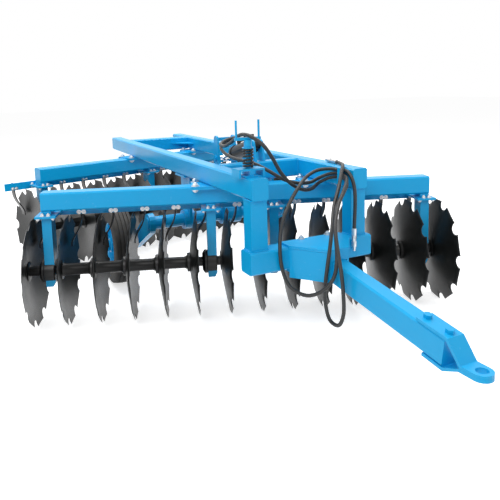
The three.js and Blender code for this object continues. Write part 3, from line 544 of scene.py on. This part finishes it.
# Hose ends as outlines of distance and radius: a crimped ferrule, and a coupler of nut, sleeve and nose.
hoseEndValues = {
    "ferrule": [
        (0, 0.0101), (0.001, 0.0128), (0.006, 0.0135), (0.012, 0.0126), (0.018, 0.0135), (0.024, 0.0126),
        (0.030, 0.0135), (0.036, 0.0126), (0.041, 0.0128), (0.042, 0.0101), (0, 0.0101),
    ],
    "nut": [
        (0.0005, 0), (0.0005, 0.0125), (0.002, 0.0135), (0.02, 0.0135), (0.022, 0.0125), (0.034, 0.0112),
        (0.034, 0),
    ],
    "sleeve": [
        (0.033, 0), (0.033, 0.0128), (0.036, 0.014), (0.043, 0.014), (0.044, 0.0128), (0.047, 0.0128),
        (0.048, 0.014), (0.062, 0.014), (0.0655, 0.012), (0.0655, 0),
    ],
    "nose": [
        (0.065, 0), (0.065, 0.009), (0.078, 0.009), (0.080, 0.0078), (0.083, 0.0078), (0.085, 0.009),
        (0.0875, 0.008), (0.088, 0.0045), (0.084, 0.004), (0.084, 0),
    ],
}


def addCoupler(name, end, direction, values, node):
    # a hexagon nut, a grooved sliding sleeve and a nose with a poppet, spun on the hose's last direction
    parts = [spun(values["nut"], end, direction, 6)]
    parts += [spun(values[key], end, direction, 36) for key in ("sleeve", "nose")]
    return makePiece(name, merged(parts), "zincPlate", "frame", sharp=30, replaces=(node,))


def addFerrules(name, path, values):
    # one outline spun at each end, looking along the hose
    starts = ((path[0], path[4] - path[0]), (path[-1], path[-4] - path[-1]))
    parts = [spun(values["ferrule"], start, direction, 30) for start, direction in starts]
    return makePiece(name, merged(parts), "zincPlate", "frame", sharp=50)


for label, (route, lastDirection) in routes.items():
    node = f"hose_{label}"
    path = smoothRoute(route, hoseValues["perStretch"])
    end = np.asarray(route[-1]) + drawingZero
    quickCoupler = addCoupler(f"{node}_quick_coupler", end, lastDirection, hoseEndValues, f"{node}_coupler")
    ferrules = addFerrules(f"{node}_ferrules", path, hoseEndValues)
    addHose(f"{node}_cover", path, hoseValues, node)
print("hoses hung")


# Rows of discs: centre and turn of each row, the side its hollows face, its scraper bar and frame crossings.
rowValues = {
    "front": {
        "centre": (0, 0.030), "turn": -19.8, "side": 1, "blades": 13, "bar": (-1.211, 1.235),
        "crossings": (-0.194, 0.4799),
    },
    "rear": {
        "centre": (0.096, 1.890), "turn": 15.3, "side": -1, "blades": 14, "bar": (-1.405, 1.211),
        "crossings": (-0.2887, 0.3686),
    },
}
discValues = {
    "flat": 0.3235,  # from the shaft to the middle of a tooth's straight edge
    "notches": 10,
    "notchRadius": 0.038,
    "notchCentre": 0.3278,
    "eye": 0.04,
    "dish": 0.055,
    "power": 1.35,
    "rings": (0, 0.14, 0.28, 0.42, 0.56, 0.7, 0.82, 0.88, 0.93, 1),  # shares of the way from the eye out
    "thickness": 0.006,
    "edge": 0.0016,
    "pitch": 0.195,
    "perGang": 7,
    "height": 0.3235,
}
shaftValues = {
    "hub": 0.059, "hubHalf": 0.014, "hubAtBearing": 0.002, "hubChamfer": (0.002, 0.003), "hubBore": 0.029,
    "journal": 0.0295,
    "bearings": (-1.17, -0.195, 0.195, 1.17),
    "bearingShift": 0.013,  # the way the discs bulge
    "spool": [(0.012, 0.05), (0.016, 0.042), (0.03, 0.036)],  # distance from the hub and radius
    "washer": [(0.014, 0), (0.014, 0.047), (0.0165, 0.047), (0.0165, 0)],
    "nut": [(0.0165, 0), (0.0165, 0.042), (0.022, 0.044), (0.0245, 0.038), (0.0245, 0)],
    "thread": [(0.0245, 0.02), (0.026, 0.018), (0.026, 0)],
}


def inRow(part, row):
    # turned from along X to along the row, then moved to the row's centre
    points, faces = part
    turn = math.radians(row["turn"])
    along, back = (math.cos(turn), math.sin(turn), 0), (-math.sin(turn), math.cos(turn), 0)
    centre = drawingZero + np.array([*row["centre"], 0])
    return points @ np.array([along, back, (0, 0, 1)]) + centre, faces


def notchedDisc(rim, side, values):
    # outline radius = flat / cos(angle from a tooth's middle), or in a notch
    # centre * cos(offset) - sqrt(notch radius^2 - (centre * sin(offset))^2)
    # hollow = dish * (1 - (radius / corner)^power), from a flat rim to the full dish at the shaft
    tenth = 2 * math.pi / values["notches"]
    centre, notch = values["notchCentre"], values["notchRadius"]
    reach = math.asin(notch / centre)
    inNotch = reach * np.sin(np.linspace(-math.pi / 2, math.pi / 2, 19))
    onTooth = np.linspace(reach + 0.002, tenth - reach - 0.002, 9)
    across = np.sqrt(np.maximum(notch**2 - (centre * np.sin(inNotch)) ** 2, 0))
    outline = np.r_[centre * np.cos(inNotch) - across, values["flat"] / np.cos(onTooth - tenth / 2)]
    outline = np.tile(outline, values["notches"])
    starts = tenth / 2 + tenth * np.arange(values["notches"])
    angle = (starts[:, None] + np.r_[inNotch, onTooth]).ravel()
    share = np.array(values["rings"])
    thick = np.r_[np.zeros(len(share)), values["edge"], np.full(len(share) - 1, values["thickness"])]
    share = np.r_[share, share[::-1]]
    radius = values["eye"] + (outline[None] - values["eye"]) * share[:, None]
    corner = values["flat"] / math.cos(tenth / 2)
    hollow = values["dish"] * (1 - (radius / corner) ** values["power"])
    x = rim - side * (hollow + thick[:, None])
    y = radius * np.sin(angle)
    z = values["height"] + radius * np.cos(angle)
    turnShare = np.abs((angle / (2 * math.pi)) % 1 - 0.5) * 2
    maps = np.stack(np.broadcast_arrays(turnShare, share[:, None]), -1)
    points = np.stack([x, y, z], -1).reshape(-1, 3)
    return (points, gridFaces(len(share), len(angle), True, True)), maps.reshape(-1, 2)


def gangShaft(rims, side, bearings, disc, values):
    # hubs, spools, journals and end nuts, each an outline of distance and radius spun on the shaft
    hubs = np.asarray(rims) - side * (disc["dish"] + disc["thickness"] / 2)
    gaps = [any(low < b < high for b in bearings) for low, high in zip(hubs, hubs[1:])]
    start = (0, 0, disc["height"])
    top, bore = values["hub"], values["hubBore"]
    chamfer, drop = values["hubChamfer"]
    parts = []
    for i, hub in enumerate(hubs):
        bearingBefore = i > 0 and gaps[i - 1] and side > 0
        bearingAfter = i < len(gaps) and gaps[i] and side < 0
        low = hub - values["hubAtBearing" if bearingBefore else "hubHalf"]
        high = hub + values["hubAtBearing" if bearingAfter else "hubHalf"]
        ring = [
            (low, bore), (low, top - drop), (low + chamfer, top), (high - chamfer, top),
            (high, top - drop), (high, bore), (low, bore),
        ]
        parts.append(spun(ring, start, (1, 0, 0), 36))
    for low, high, bearing in zip(hubs + 0.001, hubs[1:] - 0.001, gaps):
        body = [(low, values["journal"]), (high, values["journal"])]
        if not bearing:
            body = [(low + x, r) for x, r in values["spool"]]
            body += [(high - x, r) for x, r in reversed(values["spool"])]
        parts.append(spun(body, start, (1, 0, 0), 36))
    for hub, out in ((hubs[0], -1), (hubs[-1], 1)):
        for key, sides in (("washer", 30), ("nut", 6), ("thread", 24)):
            parts.append(spun(values[key], (hub, 0, disc["height"]), (out, 0, 0), sides))
    return merged(parts)


perGang = discValues["perGang"]
rims = (np.arange(2 * perGang) + 0.5 - perGang) * discValues["pitch"]
hangerCentres = {
    name: np.array(shaftValues["bearings"]) - row["side"] * shaftValues["bearingShift"]
    for name, row in rowValues.items()
}
for rowName, row in rowValues.items():
    for hand, places in (("right", rims[:perGang]), ("left", rims[perGang:])):
        discs = [notchedDisc(rim, row["side"], discValues) for rim in places]
        body = f"{rowName}_{hand}_gang"
        maps = ("ringMap", np.concatenate([one for _, one in discs]))
        surface = inRow(merged([one for one, _ in discs]), row)
        makePiece(f"{body}_discs", surface, "discBlack", body, sharp=40, maps=maps,
                  replaces=(f"{rowName}_{hand}_disc_gang",))
        shaft = gangShaft(places, row["side"], hangerCentres[rowName], discValues, shaftValues)
        makePiece(f"{body}_shaft", inRow(shaft, row), "blackSteel", body, sharp=35)
print("discs cut")


boltRings = {  # outlines as shares: distance of the head's height, radius of the head's radius
    "washer": ([(0, 0), (0, 1.45), (0.2, 1.45), (0.2, 0)], 20),
    "head": ([(0.2, 0), (0.2, 1), (0.88, 1), (1, 0.86), (1, 0)], 6),
    "thread": ([(1, 0.56), (1.35, 0.56), (1.45, 0.46), (1.45, 0)], 16),
}


def boltHead(place, direction, radius=0.0095, height=0.009):
    # a washer, a six-sided head with a rounded top, and the thread's end above it
    return merged([
        spun(np.array(outline) * (height, radius), place, direction, sides)
        for outline, sides in boltRings.values()
    ])


# Scrapers: a rail behind each row, and for each disc a bent strip on a bolted lug.
scraperValues = {
    "railFront": 0.1053,
    "railBack": 0.1173,
    "railLow": 0.640,
    "railTop": 0.698,
    "stripBack": 0.1793,
    "stripStart": 0.1175,
    "strip": [(0.060, 0.694), (0.060, 0.575), (-0.007, 0.470), (-0.007, 0.432)],
    "thickness": 0.008,
    "chamfer": 0.0012,
    "lugPlace": 0.065,  # from a disc's rim
    "lugHalf": 0.03,
    "lugThickness": 0.007,
    "lugHeights": (0.645, 0.693),
    "boltHeight": 0.654,
    "boltApart": 0.028,
}


def softened(corners, rounds=3):
    # each corner is cut at a quarter of its sides, again and again, with the ends kept
    path = np.asarray(corners, float)
    for _ in range(rounds):
        start, end = path[:-1], path[1:]
        cut = np.stack([0.75 * start + 0.25 * end, 0.25 * start + 0.75 * end], 1).reshape(-1, path.shape[1])
        path = np.vstack([path[:1], cut, path[-1:]])
    return path


def scraperStrip(rim, side, values):
    # a flat bar with chamfered edges, carried down the bent line, and its lug behind the rail
    line = softened(values["strip"])
    middle = (values["stripStart"] + values["stripBack"]) / 2
    path = np.stack([rim + side * line[:, 0], np.full(len(line), middle), line[:, 1]], -1)
    along = np.gradient(path, axis=0)
    along /= np.linalg.norm(along, axis=1)[:, None]
    up = np.tile([0.0, 1.0, 0.0], (len(path), 1))
    half, wide = values["thickness"] / 2, (values["stripBack"] - values["stripStart"]) / 2
    cut = values["chamfer"]
    outline = np.array([
        (-half, -wide + cut), (-half + cut, -wide), (half - cut, -wide), (half, -wide + cut),
        (half, wide - cut), (half - cut, wide), (-half + cut, wide), (-half, wide - cut),
    ])
    strip = carried(path, np.cross(up, along), up, outline)
    place = rim + side * values["lugPlace"]
    low, top = values["lugHeights"]
    lug = block(
        (place - values["lugHalf"], values["railBack"], low),
        (place + values["lugHalf"], values["railBack"] + values["lugThickness"], top),
    )
    return merged([strip, lug])


def scraperBolts(bladed, side, values):
    # two heads on the front of the rail for each lug
    half = values["boltApart"] / 2
    places = [rim + side * values["lugPlace"] + x for rim in bladed for x in (-half, half)]
    return merged([boltHead((x, values["railFront"], values["boltHeight"]), (0, -1, 0)) for x in places])


# Hangers: a post under a flange, with a cast bearing housing through it.
hangerValues = {
    "half": 0.028,
    "depth": 0.050,
    "foot": 0.235,
    "chamfer": 0.014,
    "flange": 0.060,
    "front": -0.085,
    "rear": 0.105,
    "flangeLow": 0.6603,
    "flangeTop": 0.6743,
    "padTop": 0.6975,
    "boltRows": (-0.070, 0.088),
    "boltNear": 0.017,
    "boltFar": 0.043,
    "bolt": 0.0105,
    "nutHeight": 0.012,
    "headHeight": 0.009,
    "housing": [  # distance along the shaft and radius
        (-0.028, 0.031), (-0.028, 0.066), (-0.024, 0.070), (0.030, 0.070), (0.034, 0.0735),
        (0.046, 0.0735), (0.050, 0.069), (0.056, 0.060), (0.0615, 0.052), (0.0615, 0.031), (-0.028, 0.031),
    ],
}


def hangerPart(centre, values):
    half, depth, cut = values["half"], values["depth"], values["chamfer"]
    foot, low, top = values["foot"], values["flangeLow"], values["flangeTop"]
    corners = [(-half, foot), (half - cut, foot), (half, foot + 2 * cut), (half, low), (-half, low)]
    ends = np.array([(centre, -depth, 0), (centre, depth, 0)])
    across, up = np.tile([1.0, 0, 0], (2, 1)), np.tile([0, 0, 1.0], (2, 1))
    flange = block(
        (centre - values["flange"], values["front"], low),
        (centre + values["flange"], values["rear"], top),
    )
    pad = block((centre - half, -depth, top), (centre + half, depth, values["padTop"]))
    return merged([carried(ends, across, up, np.array(corners)), flange, pad])


def hangerBolts(centres, values):
    # nuts near the post in front and wide of it behind, and heads under the flange's corners
    front, back = values["boltRows"]
    near, far = values["boltNear"], values["boltFar"]
    top, low = values["flangeTop"], values["flangeLow"]
    nut, head = (values["bolt"], values["nutHeight"]), (values["bolt"], values["headHeight"])
    parts = [boltHead((c + x, front, top), (0, 0, 1), *nut) for c in centres for x in (-near, near)]
    corners = [(c + x, y, low) for c in centres for x in (-far, far) for y in (front, back)]
    parts += [boltHead(corner, (0, 0, -1), *head) for corner in corners]
    parts += [boltHead((c + x, back, top), (0, 0, 1), *nut) for c in centres for x in (-far, far)]
    return merged(parts)


# Clamps: at each crossing a plate between the gang beam and the main beam, with four bolts beside them.
clampValues = {
    "half": (0.13, 0.105),
    "low": 0.8083,
    "top": 0.8157,
    "under": 0.7957,
    "boltPlace": (0.104, 0.080),
    "bolt": 0.0175,
    "nutHeight": 0.0155,
    "headHeight": 0.0125,
}


def clampPlate(x, values):
    across, deep = values["half"]
    return block((x - across, -deep, values["low"]), (x + across, deep, values["top"]))


def clampBolts(x, values):
    across, deep = values["boltPlace"]
    corners = [(x + a * across, b * deep) for a in (-1, 1) for b in (-1, 1)]
    nut, head = (values["bolt"], values["nutHeight"]), (values["bolt"], values["headHeight"])
    parts = [boltHead((*corner, values["top"]), (0, 0, 1), *nut) for corner in corners]
    return merged(parts + [boltHead((*corner, values["under"]), (0, 0, -1), *head) for corner in corners])


for rowName, row in rowValues.items():
    side, centres = row["side"], hangerCentres[rowName]
    rail = block(
        (row["bar"][0], scraperValues["railFront"], scraperValues["railLow"]),
        (row["bar"][1], scraperValues["railBack"], scraperValues["railTop"]),
    )
    makePiece(f"{rowName}_scraper_rail", inRow(rail, row), "bluePaint", "frame", bevel=0.0015,
              replaces=(f"{rowName}_scraper_bar",))
    bladed = rims[: row["blades"]]
    strips = merged([scraperStrip(rim, side, scraperValues) for rim in bladed])
    makePiece(f"{rowName}_scraper_blades", inRow(strips, row), "blackSteel", "frame", sharp=40)
    heads = scraperBolts(bladed, side, scraperValues)
    makePiece(f"{rowName}_scraper_bolts", inRow(heads, row), "zincPlate", "frame", sharp=30)

    nuts = hangerBolts(centres, hangerValues)
    makePiece(f"{rowName}_hanger_bolts", inRow(nuts, row), "zincPlate", "frame", sharp=30)
    outline = np.array(hangerValues["housing"]) * (-side, 1)
    for number, centre in enumerate(centres, 1):
        post = inRow(hangerPart(centre, hangerValues), row)
        makePiece(f"{rowName}_hanger_post_{number}", post, "bluePaint", "frame", bevel=0.0015,
                  replaces=(f"{rowName}_hanger_{number}",))
        housing = spun(outline, (centre, 0, discValues["height"]), (1, 0, 0), 48)
        makePiece(f"{rowName}_bearing_{number}", inRow(housing, row), "blackSteel", "frame", sharp=30)

    for hand, x in zip(("right", "left"), row["crossings"]):
        plate = inRow(clampPlate(x, clampValues), row)
        makePiece(f"{rowName}_{hand}_clamp_plate", plate, "bluePaint", "frame", bevel=0.001,
                  replaces=(f"{rowName}_clamp_{hand}",))
        studs = inRow(clampBolts(x, clampValues), row)
        makePiece(f"{rowName}_{hand}_clamp_bolts", studs, "zincPlate", "frame", sharp=30)
print("scrapers, hangers and clamps bolted")


# Transport wheels: a ribbed tyre and a dished disc spun on X, with five nuts on either face.
wheelValues = {
    "places": {"right": -0.588, "left": 0.700},
    "y": 0.960,
    "z": 0.280,
    "crown": 0.272,
    "rise": 0.008,
    "shoulder": 0.062,
    "grooves": (0.04, 0.0135, -0.0135, -0.04),
    "grooveWalls": (0.0045, 0.0032, -0.0032, -0.0045),
    "grooveDepth": 0.008,
    "wall": [
        (0.055, 0.1655), (0.064, 0.170), (0.071, 0.182), (0.0738, 0.196), (0.0748, 0.198), (0.0748, 0.203),
        (0.0740, 0.206), (0.0745, 0.222), (0.0728, 0.244), (0.0690, 0.262), (0.0640, 0.2705),
    ],
    "disc": [  # half of the disc's outline, from the hub outwards
        (0.0600, 0.0245), (0.0600, 0.048), (0.056, 0.052), (0.014, 0.052), (0.008, 0.060), (0.008, 0.135),
        (0.016, 0.148), (0.036, 0.152), (0.050, 0.153), (0.055, 0.157), (0.0555, 0.1645),
    ],
    "nuts": 5,
    "nutCircle": 0.095,
    "nutFace": 0.008,
    "nut": (0.011, 0.012),
}


def tyreOutline(values):
    # two rounded walls, and between them ribs: crown + rise * (1 - (x / shoulder)^2), less the grooves
    walls = [groove + wall for groove in values["grooves"] for wall in values["grooveWalls"]]
    x = np.array([values["shoulder"], *walls, -values["shoulder"]])
    depth = values["grooveDepth"]
    cut = np.array([0] + [0, depth, depth, 0] * len(values["grooves"]) + [0])
    ribs = values["crown"] + values["rise"] * (1 - (x / values["shoulder"]) ** 2) - cut
    wall = np.array(values["wall"])
    return np.vstack([wall, np.stack([x, ribs], -1), wall[::-1] * (-1, 1), wall[:1]])


def wheelDiscOutline(values):
    half = np.array(values["disc"])
    return np.vstack([half * (-1, 1), half[::-1], half[:1] * (-1, 1)])


def wheelNuts(centre, values):
    angles = 2 * math.pi * np.arange(values["nuts"]) / values["nuts"]
    around, face = values["nutCircle"], values["nutFace"]
    return merged([
        boltHead(centre + np.array([s * face, around * math.cos(a), around * math.sin(a)]), (s, 0, 0),
                 *values["nut"])
        for a in angles for s in (-1, 1)
    ])


for hand, x in wheelValues["places"].items():
    centre = drawingZero + np.array([x, wheelValues["y"], wheelValues["z"]])
    body = f"{hand}_wheel"
    tyre = spun(tyreOutline(wheelValues), centre, (1, 0, 0), 96)
    makePiece(f"{body}_tread", tyre, "tyreRubber", body, sharp=38, replaces=(f"wheel_{hand}_tyre",))
    disc = spun(wheelDiscOutline(wheelValues), centre, (1, 0, 0), 72)
    makePiece(f"{body}_disc", disc, "bluePaint", body, sharp=40, replaces=(f"wheel_{hand}_rim",))
    makePiece(f"{body}_nuts", wheelNuts(centre, wheelValues), "zincPlate", body, sharp=30)
print("wheels turned")


# The spring that holds up the hose guide.
springValues = {
    "place": (-0.192, -0.440),
    "low": 0.9806,
    "high": 1.0756,
    "radius": 0.026,
    "wire": 0.0048,
    "turns": 6,
    "flattened": 0.03,
}


def springCoil(values):
    # a helix whose height is share - flattened * sin(2 pi share) of the rise, closer together at both ends
    share = np.linspace(0, 1, values["turns"] * 36 + 1)
    angle = 2 * math.pi * values["turns"] * share
    rise = share - np.sin(2 * math.pi * share) * values["flattened"]
    x = values["place"][0] + values["radius"] * np.cos(angle)
    y = values["place"][1] + values["radius"] * np.sin(angle)
    z = values["low"] + (values["high"] - values["low"]) * rise
    path = np.stack([x, y, z], -1) + drawingZero
    side, up = travelFrames(path)
    return carried(path, side, up, values["wire"] * circle(12))


makePiece("guide_spring_coil", springCoil(springValues), "blackSteel", "frame", replaces=("spring",))
print("spring wound")


headBoltValues = {"across": (0.107, 0.280), "y": -0.475, "z": 0.5563, "size": (0.014, 0.014)}


def headBolts(values):
    places = [drawingZero + np.array([x, values["y"], values["z"]]) for x in values["across"]]
    return merged([boltHead(place, (0, 0, 1), *values["size"]) for place in places])


makePiece("drawbar_head_bolts", headBolts(headBoltValues), "zincPlate", "frame", sharp=30)


# Weld beads where the frame's beams meet, in the drawing's frame.
weldValues = {
    "radius": 0.0045,
    "ripple": 0.12,
    "rippleLength": 0.005,
    "station": 0.0014,
    "postSides": ((-0.230, -0.135), (0.404, 0.499)),
    "postFront": -0.536,
    "postBack": -0.446,
    "postHeights": (0.5445, 0.8157),
    "outside": 0.001,
    "memberEnds": (-0.1345, 0.4035),
    "memberSides": (0.040, 0.112),
    "memberHeights": (0.822, 0.925),
    "middle": 0.172,
    "headFront": (0.057, -0.750),  # from the middle, and y
    "headBack": (0.194, -0.562),
    "headHeight": 0.5445,
    "seamEnds": (-0.020, 0.364),
    "seamPlace": (-0.5625, 0.5435),  # y and height
    "seamRadius": 0.004,
}


def weldBead(start, end, values, radius):
    # a round rod of radius * (1 + ripple * sin(2 pi distance / rippleLength)), closed at both ends
    start, end = np.asarray(start, float) + drawingZero, np.asarray(end, float) + drawingZero
    length = np.linalg.norm(end - start)
    along = np.linspace(0, length, max(8, int(length / values["station"])))
    width = radius * (1 + values["ripple"] * np.sin(2 * math.pi * along / values["rippleLength"]))
    width[[0, -1]] = 0
    return spun(np.stack([along, width], -1), start, end - start, 8)


def weldLines(values):
    # round both front posts, up the middle cross member's ends and along the drawbar head's slanting sides
    front, back, outside = values["postFront"], values["postBack"], values["outside"]
    lines = []
    for low, high in values["postSides"]:
        for z in values["postHeights"]:
            lines += [((low, y, z), (high, y, z)) for y in (front, back)]
            lines += [
                ((x, front + outside, z), (x, back - outside, z)) for x in (low - outside, high + outside)
            ]
    bottom, top = values["memberHeights"]
    lines += [((x, y, bottom), (x, y, top)) for y in values["memberSides"] for x in values["memberEnds"]]
    middle, height = values["middle"], values["headHeight"]
    for side in (-1, 1):
        ends = [values["headFront"], values["headBack"]]
        lines.append([(middle + side * across, y, height) for across, y in ends])
    return lines


beads = [weldBead(*line, weldValues, weldValues["radius"]) for line in weldLines(weldValues)]
seam = [(x, *weldValues["seamPlace"]) for x in weldValues["seamEnds"]]
beads.append(weldBead(*seam, weldValues, weldValues["seamRadius"]))
makePiece("frame_welds", merged(beads), "bluePaint", "frame", sharp=60)
print("welds laid")


# Finishes on the drawn parts that stay in sight: blue paint unless named here.
drawnFinishes = {"lift_cylinder": "blackSteel", "lift_cylinder_rod": "rodChrome"}

for name, thing in nodes.items():
    for slot in thing.material_slots:
        slot.material = finishes[drawnFinishes.get(name, "bluePaint")]


# Studio: a white room that lights evenly, a pale floor, and three soft lamps.
studioValues = {
    "world": 0.45,
    "floor": 0.8,
    "floorRough": 0.95,
    "floorHalf": 40,
    "lift": 0.62,  # extra brightness of the floor where it is seen directly
    "aim": 0.5,
    "lamps": {  # power, place and size
        "key": (330.0, (-5.0, -5.0, 6.0), 4.5),
        "fill": (70.0, (6.0, -3.0, 4.0), 4.0),
        "top": (480.0, (0.5, 2.5, 6.5), 6.0),
    },
}


def seenDirectly(tree):
    # 1 for rays from the camera, mirrored or let through, and 0 for the rays that light the machine
    path = addNode(tree, "ShaderNodeLightPath").outputs
    seen = calculate(tree, "MAXIMUM", path["Is Camera Ray"], path["Is Glossy Ray"])
    return calculate(tree, "MAXIMUM", seen, path["Is Transmission Ray"])


def addWorld(values):
    world = bpy.data.worlds.new("studioWorld")
    world.use_nodes = True
    tree = world.node_tree
    back = tree.nodes["Background"]
    level = calculate(tree, "MULTIPLY_ADD", seenDirectly(tree), 1 - values["world"], values["world"])
    back.inputs["Color"].default_value = (1, 1, 1, 1)
    tree.links.new(level, back.inputs["Strength"])
    bpy.context.scene.world = world


def addFloor(values):
    material = bpy.data.materials.new("studioFloor")
    material.use_nodes = True
    tree = material.node_tree
    shader = tree.nodes["Principled BSDF"]
    shader.inputs["Base Color"].default_value = (values["floor"],) * 3 + (1,)
    shader.inputs["Roughness"].default_value = values["floorRough"]
    shader.inputs["Specular IOR Level"].default_value = 0.0
    shader.inputs["Emission Color"].default_value = (1, 1, 1, 1)
    lift = calculate(tree, "MULTIPLY", seenDirectly(tree), values["lift"])
    tree.links.new(lift, shader.inputs["Emission Strength"])
    half = values["floorHalf"]
    mesh = bpy.data.meshes.new("studioFloor")
    corners = [(-half, -half, 0), (half, -half, 0), (half, half, 0), (-half, half, 0)]
    mesh.from_pydata(corners, [], [(0, 1, 2, 3)])
    mesh.materials.append(material)
    floor = bpy.data.objects.new("studioFloor", mesh)
    bpy.context.scene.collection.objects.link(floor)


def addLamps(values):
    # area lamps, each turned to look at a point above the middle of the floor
    aim = Vector((0, 0, values["aim"]))
    for name, (power, place, size) in values["lamps"].items():
        data = bpy.data.lights.new(f"{name}Lamp", "AREA")
        data.energy = power
        data.size = size
        lamp = bpy.data.objects.new(f"{name}Lamp", data)
        lamp.location = place
        lamp.rotation_euler = (aim - Vector(place)).to_track_quat("-Z", "Y").to_euler()
        bpy.context.scene.collection.objects.link(lamp)


addWorld(studioValues)
addFloor(studioValues)
addLamps(studioValues)
bpy.context.scene.view_settings.view_transform = "Standard"
print("studio lit")
